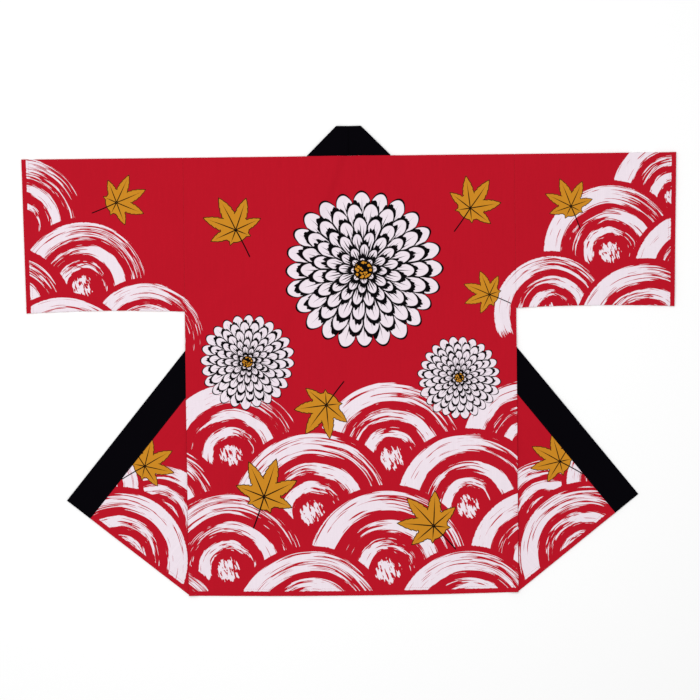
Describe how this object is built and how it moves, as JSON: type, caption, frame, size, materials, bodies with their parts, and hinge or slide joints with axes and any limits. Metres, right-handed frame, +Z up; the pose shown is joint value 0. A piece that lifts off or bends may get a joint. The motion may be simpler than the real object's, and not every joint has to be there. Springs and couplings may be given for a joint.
{
  "type": "happi coat laid flat",
  "caption": "Short wide-sleeved happi coat laid flat with its back up and both fronts turned out from under it.",
  "frame": {"origin": "on the surface that the coat lies on, below the middle of its outline", "axes": "+X across the coat from the viewer's left cuff to the right one, +Y from the hem to the collar, +Z up from the surface"},
  "size_m": [1.3, 0.9326, 0.0066],
  "materials": {
    "printed_cotton": "matte plain-weave cotton with a brushed print",
    "black_cotton": "matte plain-weave cotton, doubled"
  },
  "bodies": {
    "root": {"back": "printed_cotton", "front_left": "printed_cotton", "front_right": "printed_cotton", "sleeve_left": "printed_cotton", "sleeve_right": "printed_cotton", "collar": "black_cotton"}
  },
  "joints": []
}
